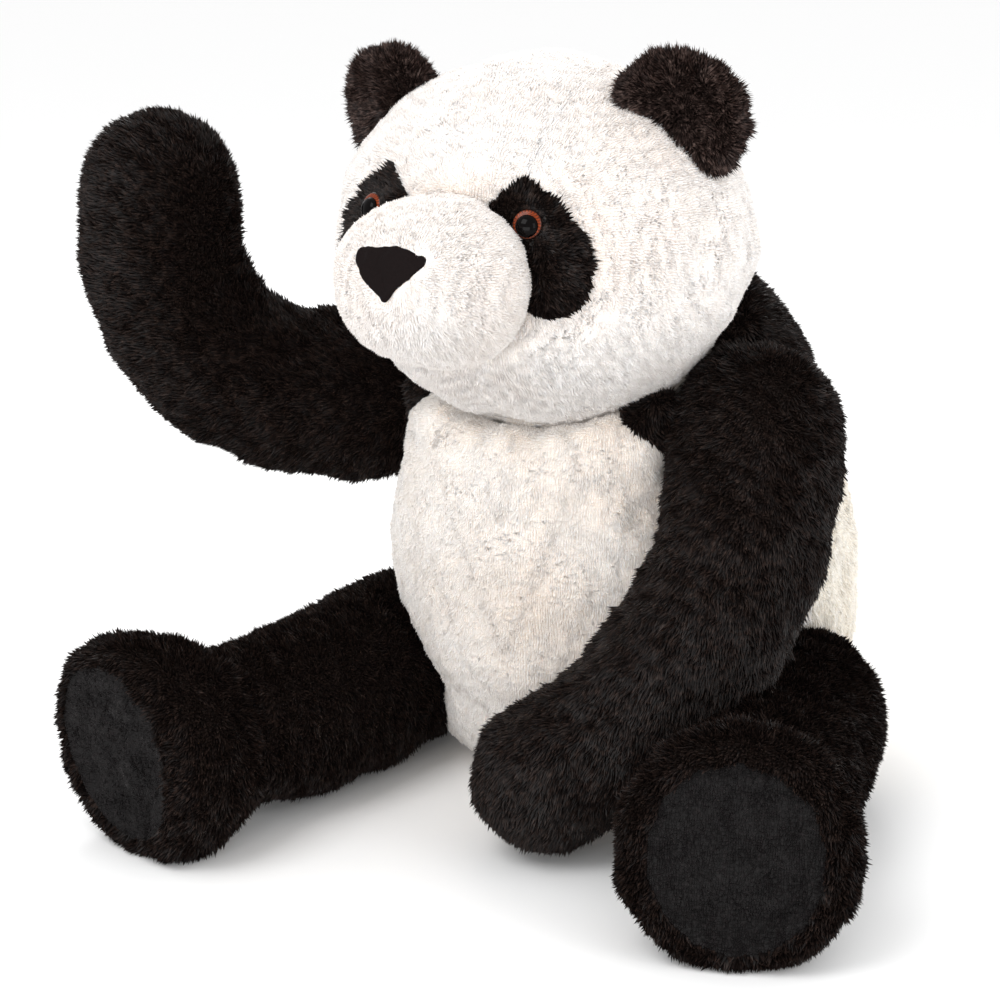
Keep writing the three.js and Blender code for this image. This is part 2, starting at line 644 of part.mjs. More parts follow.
addTorso();
addTail();
addNeck();
addHead();
addArm(leftArm, 'left');
addArm(rightArm, 'right');
addLeg(1, 'left', swingRoom(leftArm, swing.left.axis, [0, ...swing.left.pastLeg]));
addLeg(-1, 'right', []);

export default group;
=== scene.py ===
# Plush panda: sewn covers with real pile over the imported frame. Metres, the panda faces -Y.
import math

import bmesh
import bpy
import numpy as np
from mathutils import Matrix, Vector
from mathutils.bvhtree import BVHTree
from mathutils.kdtree import KDTree
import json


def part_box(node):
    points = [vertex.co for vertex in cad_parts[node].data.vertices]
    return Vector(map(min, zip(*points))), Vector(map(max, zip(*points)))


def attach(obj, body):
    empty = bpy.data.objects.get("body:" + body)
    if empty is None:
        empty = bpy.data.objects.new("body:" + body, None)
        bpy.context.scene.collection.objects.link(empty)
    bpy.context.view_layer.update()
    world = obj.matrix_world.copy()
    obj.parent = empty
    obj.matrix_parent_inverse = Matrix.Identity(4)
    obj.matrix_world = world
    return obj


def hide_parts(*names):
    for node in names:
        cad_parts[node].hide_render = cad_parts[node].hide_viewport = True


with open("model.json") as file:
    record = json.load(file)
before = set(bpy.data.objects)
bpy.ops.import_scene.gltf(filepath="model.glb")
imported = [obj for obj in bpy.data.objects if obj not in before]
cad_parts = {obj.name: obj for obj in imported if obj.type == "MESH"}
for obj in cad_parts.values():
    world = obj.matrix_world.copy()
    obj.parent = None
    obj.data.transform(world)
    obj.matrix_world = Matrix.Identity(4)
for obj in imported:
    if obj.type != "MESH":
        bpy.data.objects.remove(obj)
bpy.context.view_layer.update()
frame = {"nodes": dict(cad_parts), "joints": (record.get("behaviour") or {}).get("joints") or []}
scene = bpy.context.scene
nodes = frame["nodes"]


# small helpers

def srgb(text):
    # '#rrggbb' to linear RGBA
    parts = [int(text[i:i + 2], 16) / 255 for i in (1, 3, 5)]
    return tuple(c / 12.92 if c <= 0.04045 else ((c + 0.055) / 1.055) ** 2.4 for c in parts) + (1.0,)


def link(mesh, name):
    obj = bpy.data.objects.new(name, mesh)
    scene.collection.objects.link(obj)
    return obj


def coords(mesh):
    co = np.empty(len(mesh.vertices) * 3, np.float32)
    mesh.vertices.foreach_get("co", co)
    return co.reshape(-1, 3).astype(float)


def setCoords(mesh, co):
    mesh.vertices.foreach_set("co", co.astype(np.float32).ravel())
    mesh.update()


def vertexNormals(mesh):
    no = np.empty(len(mesh.vertices) * 3, np.float32)
    mesh.vertex_normals.foreach_get("vector", no)
    return no.reshape(-1, 3).astype(float)


def unit(v):
    return v / np.maximum(np.linalg.norm(v, axis=-1, keepdims=True), 1e-9)


def applied(obj):
    # the object's mesh with its modifiers made real, in a fresh object
    depsgraph = bpy.context.evaluated_depsgraph_get()
    mesh = bpy.data.meshes.new_from_object(obj.evaluated_get(depsgraph))
    made = link(mesh, obj.name)
    bpy.data.objects.remove(obj)
    return made


def wave(points, size, seed):
    # smooth random numbers from -1 to 1 that change over about size metres
    rng = np.random.default_rng(seed)
    total = np.zeros(len(points))
    for _ in range(7):
        way = unit(rng.normal(size=3)) * rng.uniform(0.7, 1.5) * 2 * math.pi / size
        total += np.sin(points @ way + rng.uniform(0, 2 * math.pi))
    return np.clip(total / 3.2, -1, 1)


# materials

def addNode(tree, kind, where, **values):
    node = tree.nodes.new(kind)
    node.location = where
    for key, value in values.items():
        if hasattr(node, key):
            setattr(node, key, value)
        else:
            node.inputs[key.replace("_", " ")].default_value = value
    return node


def newMaterial(name):
    material = bpy.data.materials.new(name)
    material.use_nodes = True
    tree = material.node_tree
    return material, tree, tree.nodes["Principled BSDF"]


def blendOf(tree, where, a, b, factor=None, mode="MIX"):
    mix = addNode(tree, "ShaderNodeMix", where, data_type="RGBA", blend_type=mode)
    for socket, value in ((6, a), (7, b), (0, factor)):
        if isinstance(value, bpy.types.NodeSocket):
            tree.links.new(value, mix.inputs[socket])
        elif value is not None:
            mix.inputs[socket].default_value = value
    return mix.outputs[2]


def pileMaterial(name, look):
    # pile fibre: dark at the root and lighter at the tip, which is painted shade deep in the pile and
    # painted highlight on the tips, with slow random drifts of tone over the cover
    material, tree, shader = newMaterial(name)
    place = addNode(tree, "ShaderNodeTexCoord", (-1100, 0))
    tip = addNode(tree, "ShaderNodeAttribute", (-1100, 250), attribute_name="pileTip")
    # the root colour is painted shade between the tufts, the tip colour painted highlight
    ramp = addNode(tree, "ShaderNodeValToRGB", (-850, 250))
    ramp.color_ramp.elements[0].color = srgb(look["root"])
    ramp.color_ramp.elements[1].color = srgb(look["tip"])
    middle = ramp.color_ramp.elements.new(0.55)
    middle.color = srgb(look["middle"])
    tree.links.new(tip.outputs["Fac"], ramp.inputs[0])
    drift = addNode(tree, "ShaderNodeTexNoise", (-850, -50), Scale=1 / look["drift"], Detail=3.0)
    fine = addNode(tree, "ShaderNodeTexNoise", (-850, -300), Scale=1 / look["fleck"], Detail=2.0)
    for noise in (drift, fine):
        tree.links.new(place.outputs["Object"], noise.inputs["Vector"])
    shade = addNode(tree, "ShaderNodeMapRange", (-600, -50), From_Min=0.35, From_Max=0.7)
    tree.links.new(drift.outputs["Fac"], shade.inputs["Value"])
    fleck = addNode(tree, "ShaderNodeMapRange", (-600, -300), From_Min=0.5, From_Max=0.75,
                    To_Max=look["flecks"])
    tree.links.new(fine.outputs["Fac"], fleck.inputs["Value"])
    toned = blendOf(tree, (-350, 100), ramp.outputs[0], srgb(look["tone"]), shade.outputs[0], "MULTIPLY")
    flecked = blendOf(tree, (-150, 100), toned, srgb(look["fleckColour"]), fleck.outputs[0])
    tree.links.new(flecked, shader.inputs["Base Color"])
    shader.inputs["Roughness"].default_value = look["roughness"]
    shader.inputs["Sheen Weight"].default_value = look["sheen"]
    shader.inputs["Sheen Roughness"].default_value = 0.45
    shader.inputs["Sheen Tint"].default_value = srgb(look["sheenTint"])
    shader.inputs["Specular IOR Level"].default_value = look["specular"]
    # with subsurface comes a small glow in the tip colour: painted light for light scattered deep in the
    # pile
    if look.get("subsurface"):
        shader.inputs["Emission Color"].default_value = srgb(look["tip"])
        shader.inputs["Emission Strength"].default_value = look["emission"]
        shader.inputs["Subsurface Weight"].default_value = look["subsurface"]
        shader.inputs["Subsurface Radius"].default_value = (1.0, 0.9, 0.8)
        shader.inputs["Subsurface Scale"].default_value = look["subsurfaceReach"]
    return material


# knitted acrylic pile, brushed: brown-black, with grey-brown glints on the combed tips painted into the tip
# colour as painted highlight, and painted shade in the root colour
blackLook = {"root": "#040202", "middle": "#100a09", "tip": "#33251f", "tone": "#d6c8c2", "drift": 0.09,
             "fleck": 0.006, "flecks": 0.35, "fleckColour": "#4a3a33", "roughness": 0.48, "sheen": 0.06,
             "sheenTint": "#8f776d", "specular": 0.18}
blackPile = pileMaterial("black acrylic pile, brushed", blackLook)
# the same pile on the ears with a painted highlight: lighter grey-brown root, middle, tip and fleck colours
earPilePaintedHighlight = pileMaterial("black acrylic pile, ears, painted highlight", dict(
    blackLook, root="#0c0807", middle="#241a18", tip="#5a4843", flecks=0.8, fleckColour="#6a5852"))
# the same pile in white: the fibres pass light on, so that shadows between them stay pale. The small
# emission is no property of the fibre: it stands for light scattered deep in the pile. The darker root
# colour is painted shade between the tufts, here and in the cream and belly piles.
whiteLook = {"root": "#ebe4de", "middle": "#f4efeb", "tip": "#fbf8f5", "tone": "#f7f2ee", "drift": 0.14,
             "fleck": 0.008, "flecks": 0.2, "fleckColour": "#f4eeea", "roughness": 0.8, "sheen": 0.2,
             "sheenTint": "#fffaf2", "specular": 0.15, "subsurface": 0.9,
             "subsurfaceReach": 0.009, "emission": 0.03}
whitePile = pileMaterial("white acrylic pile, brushed", whiteLook)
creamLook = dict(whiteLook, root="#e6ddcd", middle="#f3ecdf", tip="#fbf7ef", tone="#f6efe4")
creamPile = pileMaterial("cream acrylic pile, brushed", creamLook)
# short dense nap, shorn: almost no shine, a soft grey bloom at grazing angles; the dark root is painted
# shade and the lighter tip painted highlight
napLook = dict(blackLook, root="#050404", middle="#0c0909", tip="#151011", tone="#cfc6c8", fleck=0.004,
               flecks=0.3, fleckColour="#231c1d", roughness=0.7, sheen=0.12, sheenTint="#6d6064",
               specular=0.2)
soleNap = pileMaterial("dark velour, shorn", napLook)
# belly and neck: a shade between the white and the cream
bellyPile = pileMaterial("belly acrylic pile, brushed", dict(
    whiteLook, root="#e9e1d9", middle="#f4eee8", tip="#faf6f2", tone="#f6f0ea"))


def plainMaterial(name, look):
    # one colour with a fine mottle, a bump to match, and its own gloss
    material, tree, shader = newMaterial(name)
    place = addNode(tree, "ShaderNodeTexCoord", (-900, 0))
    mottle = addNode(tree, "ShaderNodeTexNoise", (-700, 0), Scale=1 / look["grain"], Detail=4.0)
    tree.links.new(place.outputs["Object"], mottle.inputs["Vector"])
    mixed = blendOf(tree, (-400, 0), srgb(look["colour"]), srgb(look["other"]), mottle.outputs["Fac"])
    tree.links.new(mixed, shader.inputs["Base Color"])
    bump = addNode(tree, "ShaderNodeBump", (-300, -250), Strength=look["bump"], Distance=look["depth"])
    tree.links.new(mottle.outputs["Fac"], bump.inputs["Height"])
    tree.links.new(bump.outputs[0], shader.inputs["Normal"])
    shader.inputs["Roughness"].default_value = look["roughness"]
    shader.inputs["Sheen Weight"].default_value = look.get("sheen", 0)
    shader.inputs["Specular IOR Level"].default_value = look.get("specular", 0.5)
    return material


# carded polyester fibre: matt, lumpy, never quite white
fibre = plainMaterial("polyester fibrefill, carded", {
    "colour": "#e4e3de", "other": "#f4f4f1", "grain": 0.004, "bump": 0.6, "depth": 0.002,
    "roughness": 0.95})
# plain cotton over pellets: the beads press small lumps into it
cottonBag = plainMaterial("cotton calico over pellets", {
    "colour": "#cfc8b8", "other": "#ddd8cb", "grain": 0.003, "bump": 0.8, "depth": 0.0015,
    "roughness": 0.85})
# moulded nylon, left as it comes from the tool: even and slightly frosted
nylon = plainMaterial("black nylon, moulded", {
    "colour": "#232325", "other": "#2e2e31", "grain": 0.002, "bump": 0.1, "depth": 0.0002,
    "roughness": 0.45})
# woven satin tape: pale with a soft sheen
wovenTape = plainMaterial("white satin tape, woven", {
    "colour": "#efefec", "other": "#fafaf8", "grain": 0.0008, "bump": 0.3, "depth": 0.0002,
    "roughness": 0.5, "sheen": 0.3})
# smooth dark cloth, close-woven: a dull sheen that runs along its creases
noseCloth = plainMaterial("black satin cloth, close-woven", {
    "colour": "#080505", "other": "#191212", "grain": 0.0012, "bump": 0.25, "depth": 0.0002,
    "roughness": 0.7, "specular": 0.05})
# moulded black plastic, polished: sharp small highlights
blackGlass = plainMaterial("black acrylic, polished", {
    "colour": "#030202", "other": "#060404", "grain": 0.004, "bump": 0.0, "depth": 0.0001,
    "roughness": 0.04, "specular": 0.07})


def irisMaterial(name, look):
    # amber printed behind clear plastic: dark ticks run out from the pupil, and the rim is darker
    material, tree, shader = newMaterial(name)
    ring = addNode(tree, "ShaderNodeAttribute", (-1100, 200), attribute_name="ring")
    place = addNode(tree, "ShaderNodeTexCoord", (-1100, -100))
    turn = addNode(tree, "ShaderNodeAttribute", (-1100, 0), attribute_name="turn")
    ticks = addNode(tree, "ShaderNodeMath", (-900, 0), operation="MULTIPLY")
    ticks.inputs[1].default_value = look["ticks"]
    tree.links.new(turn.outputs["Fac"], ticks.inputs[0])
    wavy = addNode(tree, "ShaderNodeMath", (-750, 0), operation="SINE")
    tree.links.new(ticks.outputs[0], wavy.inputs[0])
    tick = addNode(tree, "ShaderNodeMapRange", (-600, 0), From_Min=0.1, From_Max=0.9)
    tree.links.new(wavy.outputs[0], tick.inputs["Value"])
    rim = addNode(tree, "ShaderNodeMapRange", (-850, 250), From_Min=look["bright"], From_Max=look["rim"])
    tree.links.new(ring.outputs["Fac"], rim.inputs["Value"])
    cloudy = addNode(tree, "ShaderNodeTexNoise", (-850, -250), Scale=260.0, Detail=3.0)
    tree.links.new(place.outputs["Object"], cloudy.inputs["Vector"])
    amber = blendOf(tree, (-600, -250), srgb(look["amber"]), srgb(look["light"]), cloudy.outputs["Fac"])
    edged = blendOf(tree, (-400, 150), amber, srgb(look["dark"]), rim.outputs[0])
    share = addNode(tree, "ShaderNodeMath", (-400, -50), operation="MULTIPLY")
    share.inputs[1].default_value = look["tickShare"]
    tree.links.new(tick.outputs[0], share.inputs[0])
    ticked = blendOf(tree, (-200, 50), edged, srgb(look["dark"]), share.outputs[0])
    tree.links.new(ticked, shader.inputs["Base Color"])
    shader.inputs["Roughness"].default_value = 0.15
    shader.inputs["Specular IOR Level"].default_value = 0.2
    return material


irisGlass = irisMaterial("amber print under clear plastic", {
    "amber": "#521b05", "light": "#92390a", "dark": "#120401", "ticks": 26.0, "tickShare": 0.8,
    "bright": 0.0122, "rim": 0.0134})


# forms: the covers of one body as one smooth stuffed skin

seamWidth = 0.02      # how far a seam holds the skin down on each side
fillInset = 0.007     # the fibrefill lies this far under the skin
skinLowest = 0.001    # a stuffed skin stays this far above the floor
pileLowest = 0.0004   # and its pile this far
bareBeyond = 0.018    # skin farther than this from every cover is a socket
hemDepth = 0.004      # a seam allowance, folded inwards

def remeshed(names, voxel):
    bm = bmesh.new()
    for name in names:
        bm.from_mesh(nodes[name].data)
    bmesh.ops.remove_doubles(bm, verts=bm.verts, dist=1e-5)
    mesh = bpy.data.meshes.new("form")
    bm.to_mesh(mesh)
    bm.free()
    obj = link(mesh, "form")
    remesh = obj.modifiers.new("skin", "REMESH")
    remesh.mode = "VOXEL"
    remesh.voxel_size = voxel
    obj = applied(obj)
    keepOuter(obj.data)
    return obj


def keepOuter(mesh):
    # drops the small hollows that remeshing leaves inside
    bm = bmesh.new()
    bm.from_mesh(mesh)
    bm.verts.ensure_lookup_table()
    left = set(bm.verts)
    groups = []
    while left:
        seed = left.pop()
        group, edge = [seed], [seed]
        while edge:
            vert = edge.pop()
            for e in vert.link_edges:
                other = e.other_vert(vert)
                if other in left:
                    left.remove(other)
                    group.append(other)
                    edge.append(other)
        groups.append(group)
    groups.sort(key=len)
    inner = [v for group in groups[:-1] for v in group]
    if inner:
        bmesh.ops.delete(bm, geom=inner, context="VERTS")
    bm.to_mesh(mesh)
    bm.free()


def smoothed(mesh, rounds):
    # evens out facets and keeps the size: each round shrinks a little and swells back
    edges = np.empty(len(mesh.edges) * 2, np.int32)
    mesh.edges.foreach_get("vertices", edges)
    a, b = edges.reshape(-1, 2).T
    count = len(mesh.vertices)
    valence = np.bincount(a, minlength=count) + np.bincount(b, minlength=count)
    co = coords(mesh)
    for step in range(2 * rounds):
        total = np.stack([np.bincount(a, co[b, k], count) + np.bincount(b, co[a, k], count)
                          for k in range(3)], 1)
        share = 0.55 if step % 2 == 0 else -0.565
        co = co + share * (total / valence[:, None] - co)
    setCoords(mesh, co)


def puffed(obj, pressure, cap, seams=None):
    # stuffing swells the skin between its seams
    rest = coords(obj.data)
    if seams is not None:
        group = obj.vertex_groups.new(name="seams")
        for index in np.nonzero(seams > 0.02)[0]:
            group.add([int(index)], float(seams[index]), "REPLACE")
    cloth = obj.modifiers.new("fabric", "CLOTH")
    settings = cloth.settings
    settings.quality = 4
    settings.mass = 0.4
    settings.tension_stiffness = 12
    settings.compression_stiffness = 12
    settings.shear_stiffness = 6
    settings.bending_stiffness = 1.5
    settings.use_pressure = True
    settings.uniform_pressure_force = pressure
    settings.effector_weights.gravity = 0
    settings.shrink_min = -0.03
    if seams is not None:
        settings.vertex_group_mass = "seams"
        settings.pin_stiffness = 0.6
    cloth.collision_settings.use_collision = False
    cloth.point_cache.frame_start = 1
    cloth.point_cache.frame_end = 20
    for number in range(1, 21):
        scene.frame_set(number)
    depsgraph = bpy.context.evaluated_depsgraph_get()
    moved = coords(obj.evaluated_get(depsgraph).data) - rest
    obj.modifiers.clear()
    length = np.linalg.norm(moved, axis=1, keepdims=True)
    setCoords(obj.data, rest + moved * np.minimum(1, cap / np.maximum(length, 1e-9)))
    scene.frame_set(1)


def treeOf(name):
    bm = bmesh.new()
    bm.from_mesh(nodes[name].data)
    bmesh.ops.remove_doubles(bm, verts=bm.verts, dist=1e-5)
    tree = BVHTree.FromBMesh(bm)
    bm.free()
    return tree


def nearest(points, names, reach=0.05):
    # distance from each point to each named CAD cover
    away = np.full((len(names), len(points)), reach)
    for row, name in enumerate(names):
        tree = treeOf(name)
        low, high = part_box(name)
        close = np.all((points > np.array(low) - reach) & (points < np.array(high) + reach), axis=1)
        for i in np.nonzero(close)[0]:
            hit = tree.find_nearest(points[i].tolist(), reach)
            if hit[0] is not None:
                away[row, i] = hit[3]
    return away


def seamShare(points, covers, width):
    # 1 on a seam between two covers, falling to 0 at width
    away = np.sort(nearest(points, covers), axis=0)
    if len(covers) < 2:
        return np.zeros(len(points))
    return np.clip(1 - (away[1] - away[0]) / width, 0, 1)


def subdivided(obj, levels):
    fine = obj.modifiers.new("fine", "SUBSURF")
    fine.levels = levels
    fine.render_levels = levels
    return applied(obj)


def sunkTo(obj, name, width, depth):
    # stitching draws a cover in where a neighbour is sewn on to it
    co = coords(obj.data)
    share = np.clip(1 - nearest(co, [name])[0] / width, 0, 1)
    setCoords(obj.data, co - vertexNormals(obj.data) * (depth * share ** 1.5)[:, None])


# pile: every face of a cover rises into one combed tuft

def grow(mesh, name, style, comb):
    # mesh is a cover's skin in quads. comb(points, normals) gives the way the pile lies.
    rng = np.random.default_rng(style["seed"])
    normals = vertexNormals(mesh)
    co = coords(mesh)
    jitter = rng.normal(size=co.shape)
    jitter -= normals * np.sum(jitter * normals, axis=1, keepdims=True)
    edge = np.zeros(len(co), bool)
    bm = bmesh.new()
    bm.from_mesh(mesh)
    for v in bm.verts:
        edge[v.index] = v.is_boundary
    # the stuffing is lumpy, but a seam stays where it is sewn
    height, reach = style["ripple"]
    lump = height * wave(co, reach, style["seed"] + 5) * rimShare(co, edge, seamWidth)
    co = co + normals * lump[:, None]
    spacing = style["spacing"]
    co = co + jitter * (0.24 * spacing) * ~edge[:, None]
    bmesh.ops.poke(bm, faces=bm.faces[:], offset=0)
    bm.verts.index_update()
    made = bpy.data.meshes.new(name)
    roots = len(co)
    bm.to_mesh(made)
    bm.free()
    full = coords(made)
    count = len(full)
    full[:roots] = co
    a = np.empty(len(made.edges) * 2, np.int32)
    made.edges.foreach_get("vertices", a)
    a = a.reshape(-1, 2)
    spokes = a[(a[:, 0] >= roots) | (a[:, 1] >= roots)]
    centre = spokes.max(axis=1)
    corner = spokes.min(axis=1)
    share = np.bincount(centre, minlength=count)[roots:, None]
    middle = np.stack([np.bincount(centre, co[corner, k], count) for k in range(3)], 1)[roots:] / share
    out = unit(np.stack([np.bincount(centre, normals[corner, k], count) for k in range(3)], 1)[roots:])
    lie = comb(middle, out)
    lie = lie - out * np.sum(lie * out, axis=1, keepdims=True)
    # locks: neighbouring tufts lean together, and each lock is a little different
    lockA = wave(middle, style["lock"], style["seed"] + 1)
    lockB = wave(middle, style["lock"], style["seed"] + 2)
    side = np.cross(out, unit(lie + 1e-6))
    loose = rng.normal(size=out.shape)
    way = out + style["lean"] * lie * (1 + 0.5 * lockA)[:, None]
    way = unit(way + style["swirl"] * lockB[:, None] * side + style["stray"] * loose)
    length = style["length"] * (1 + style["uneven"] * rng.normal(size=len(out)) * 0.5)
    length *= 1 + 0.22 * wave(middle, style["lock"] * 1.7, style["seed"] + 3)
    if style.get("thin") is not None:
        length = length * style["thin"](middle, out)
    length = np.clip(length, 0.15 * style["length"], 1.6 * style["length"])
    tips = middle + way * length[:, None]
    tips[:, 2] = np.maximum(tips[:, 2], 0.0006 + 0.002 * rng.random(len(tips)))
    full[roots:] = tips
    full[:, 2] = np.maximum(full[:, 2], pileLowest)
    setCoords(made, full)
    values = np.zeros(count, np.float32)
    values[roots:] = np.clip(0.75 + 0.25 * rng.normal(size=count - roots), 0.3, 1)
    attribute = made.attributes.new("pileTip", "FLOAT", "POINT")
    attribute.data.foreach_set("value", values)
    return made


def rimShare(co, edge, width):
    # 0 on the cover's rim, rising to 1 at width
    rim = co[edge]
    if len(rim) == 0:
        return np.ones(len(co))
    tree = KDTree(len(rim))
    for i, point in enumerate(rim):
        tree.insert(point.tolist(), i)
    tree.balance()
    return np.clip(np.array([tree.find(point.tolist())[2] for point in co]) / width, 0, 1)


def turnedIn(mesh, depth):
    # the cover's edge is folded inwards, as a seam allowance is
    bm = bmesh.new()
    bm.from_mesh(mesh)
    rim = [e for e in bm.edges if e.is_boundary]
    if rim:
        bm.normal_update()
        inward = {v: -v.normal.copy() for e in rim for v in e.verts}
        made = bmesh.ops.extrude_edge_only(bm, edges=rim)
        fresh = [g for g in made["geom"] if isinstance(g, bmesh.types.BMVert)]
        for v in fresh:
            partner = next((e.other_vert(v) for e in v.link_edges if e.other_vert(v) in inward), None)
            if partner is not None:
                v.co = partner.co + inward[partner] * depth
            v.co.z = max(v.co.z, pileLowest)
        bm.normal_update()
    bm.to_mesh(mesh)
    bm.free()


def pick(mesh, chosen):
    # a copy of the mesh with only the chosen faces
    bm = bmesh.new()
    bm.from_mesh(mesh)
    bm.faces.ensure_lookup_table()
    gone = [bm.faces[i] for i in np.nonzero(~chosen)[0]]
    bmesh.ops.delete(bm, geom=gone, context="FACES")
    made = bpy.data.meshes.new("cover")
    bm.to_mesh(made)
    bm.free()
    return made


def faceCentres(mesh):
    centre = np.empty(len(mesh.polygons) * 3, np.float32)
    mesh.polygons.foreach_get("center", centre)
    return centre.reshape(-1, 3).astype(float)


def coverPieces(obj, body, covers, styles, comb):
    # splits a fine skin into its sewn covers and grows their pile; a socket has no cover and stays bare
    away = nearest(faceCentres(obj.data), covers)
    owner = np.where(away.min(axis=0) < bareBeyond, np.argmin(away, axis=0), -1)
    for row, name in enumerate(covers):
        style = styles[name]
        skin = pick(obj.data, owner == row)
        made = grow(skin, name + "_pile", style, comb)
        turnedIn(made, hemDepth)
        own(link(made, name + "_pile"), body, [name], style["material"])
        bpy.data.meshes.remove(skin)
    bpy.data.objects.remove(obj)


def own(piece, body, stoodFor, material):
    # gives a finished piece its material and its place in the frame
    piece.data.materials.clear()
    piece.data.materials.append(material)
    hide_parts(*stoodFor)
    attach(piece, body)
    print("piece", piece.name, len(piece.data.polygons))
    return piece


def softForm(body, covers, inner, skin):
    # the skin of one stuffed part, in fine quads, and its fibrefill as a piece of its own
    obj = remeshed(covers + [inner], skin["voxel"])
    smoothed(obj.data, skin["rounds"])
    co = coords(obj.data)
    setCoords(obj.data, co + vertexNormals(obj.data) * skin["swell"])
    puffed(obj, skin["pressure"], skin["cap"], seamShare(co, covers, seamWidth))
    co = coords(obj.data)
    co[:, 2] = np.maximum(co[:, 2], skinLowest)
    setCoords(obj.data, co)
    fillMesh = obj.data.copy()
    setCoords(fillMesh, co - vertexNormals(obj.data) * fillInset)
    fillMesh.shade_smooth()
    own(link(fillMesh, inner.replace("stuffing", "fibrefill")), body, [inner], fibre)
    return subdivided(obj, 2)


# styles of pile that the covers share
black = {"material": blackPile, "length": 0.0085, "spacing": 0.0028, "lock": 0.024, "lean": 0.9,
         "swirl": 0.4, "stray": 0.16, "uneven": 0.45, "ripple": (0.0018, 0.07)}
white = {"material": whitePile, "length": 0.0036, "spacing": 0.0028, "lock": 0.016, "lean": 1.5,
         "swirl": 0.5, "stray": 0.12, "uneven": 0.35, "ripple": (0.0022, 0.07)}

# torso
torsoCovers = ["seat_panel", "belly_panel", "back_panel", "shoulder_yoke", "left_chest_gore",
               "right_chest_gore"]
torsoStyles = {
    "seat_panel": dict(white, length=0.003, seed=41),
    "belly_panel": dict(white, material=bellyPile, seed=42),
    "back_panel": dict(white, material=creamPile, length=0.0055, seed=43),
    "shoulder_yoke": dict(black, seed=44),
    "left_chest_gore": dict(black, length=0.009, seed=45),
    "right_chest_gore": dict(black, length=0.009, seed=46),
}


def downwards(points, normals):
    # body pile lies downwards
    return np.tile([0.0, -0.05, -1.0], (len(points), 1))


torsoSkin = {"voxel": 0.011, "rounds": 45, "swell": 0.002, "pressure": 3.0, "cap": 0.012}
torso = softForm("torso", torsoCovers, "torso_stuffing", torsoSkin)
coverPieces(torso, "torso", torsoCovers, torsoStyles, downwards)

# the neck's own cover closes the fold under the chin
neckStyle = dict(white, material=bellyPile, length=0.003, seed=48)
neck = remeshed(["neck_stuffing"], 0.006)
smoothed(neck.data, 12)
neck = subdivided(neck, 1)
neckPile = grow(neck.data, "neck_pile", neckStyle, downwards)
bpy.data.objects.remove(neck)
own(link(neckPile, "neck_pile"), "neck", ["neck_stuffing"], bellyPile)
print("torso done")

# tail
tailStyle = {"tail_cover": dict(white, length=0.009, lean=1.0, seed=51)}
tailSkin = {"voxel": 0.007, "rounds": 14, "swell": 0.001, "pressure": 2.0, "cap": 0.005}
tail = softForm("torso", ["tail_cover"], "tail_stuffing", tailSkin)
coverPieces(tail, "torso", ["tail_cover"], tailStyle, downwards)

# a blank woven tab in the back seam
tab = {"thick": 0.0008, "wave": 0.0015}
low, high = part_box("seam_label")
bm = bmesh.new()
bmesh.ops.create_grid(bm, x_segments=10, y_segments=16, size=0.5)
bmesh.ops.scale(bm, vec=(high.x - low.x, high.y - low.y, 1), verts=bm.verts)
bmesh.ops.translate(bm, vec=(low + high) / 2, verts=bm.verts)
for v in bm.verts:
    v.co.z += tab["wave"] * math.sin((v.co.y - low.y) * 140) * (v.co.y - low.y) / (high.y - low.y)
bmesh.ops.solidify(bm, geom=bm.verts[:] + bm.edges[:] + bm.faces[:], thickness=tab["thick"])
bmesh.ops.recalc_face_normals(bm, faces=bm.faces)
tabMesh = bpy.data.meshes.new("seam_tab")
bm.to_mesh(tabMesh)
bm.free()
own(link(tabMesh, "seam_tab"), "torso", ["seam_label"], wovenTape)

# head
headCovers = ["head_crown_gusset", "head_left_side", "head_right_side", "left_eye_patch", "right_eye_patch"]


def middleOf(name):
    low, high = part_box(name)
    return (np.array(low) + np.array(high)) / 2


muzzleMiddle = middleOf("muzzle_cover")
eyeMiddles = [middleOf(side + "_eye_iris") for side in ("left", "right")]


def fromMuzzle(points, normals):
    # face pile is combed back and outwards from the muzzle, and falls at the sides
    away = unit(points - muzzleMiddle)
    return away * 0.8 + np.array([0, 0.35, -0.35])


eyeTrim = {"shorn": 0.015, "over": 0.014, "least": 0.12}
chinPile = {"top": 0.49, "over": 0.06, "extra": 1.6}


def aroundEyes(points, normals):
    # shorn close round the eyes, long under the chin where it closes the fold of the neck
    near = np.min([np.linalg.norm(points - eye, axis=1) for eye in eyeMiddles], axis=0)
    chin = 1 + chinPile["extra"] * np.clip((chinPile["top"] - points[:, 2]) / chinPile["over"], 0, 1)
    return np.clip((near - eyeTrim["shorn"]) / eyeTrim["over"], eyeTrim["least"], 1) * chin


headStyles = {name: dict(white, thin=aroundEyes, seed=60 + i) for i, name in enumerate(headCovers)}
for name in ("left_eye_patch", "right_eye_patch"):
    headStyles[name] = dict(black, length=0.0075, thin=aroundEyes, seed=70 + len(name))
headSkin = {"voxel": 0.0105, "rounds": 40, "swell": 0.0015, "pressure": 3.0, "cap": 0.010}
headForm = softForm("head", headCovers, "head_stuffing", headSkin)
muzzleSeam = {"width": 0.022, "depth": 0.007}
sunkTo(headForm, "muzzle_cover", muzzleSeam["width"], muzzleSeam["depth"])
coverPieces(headForm, "head", headCovers, headStyles, fromMuzzle)

# muzzle
noseTree = treeOf("nose_patch")
noseTrim = {"shorn": 0.001, "over": 0.004, "least": 0.12}
lowPile = {"below": 0.015, "over": 0.04, "extra": 0.9}


def fromNose(points, normals):
    return unit(points - middleOf("nose_patch"))


def roundNose(points, normals):
    # shorn under the nose, and longer and looser low on the muzzle
    away = np.array([noseTree.find_nearest(p.tolist())[3] for p in points])
    low = np.clip((muzzleMiddle[2] - lowPile["below"] - points[:, 2]) / lowPile["over"], 0, 1)
    close = np.clip((away - noseTrim["shorn"]) / noseTrim["over"], noseTrim["least"], 1)
    return close * (1 + lowPile["extra"] * low)


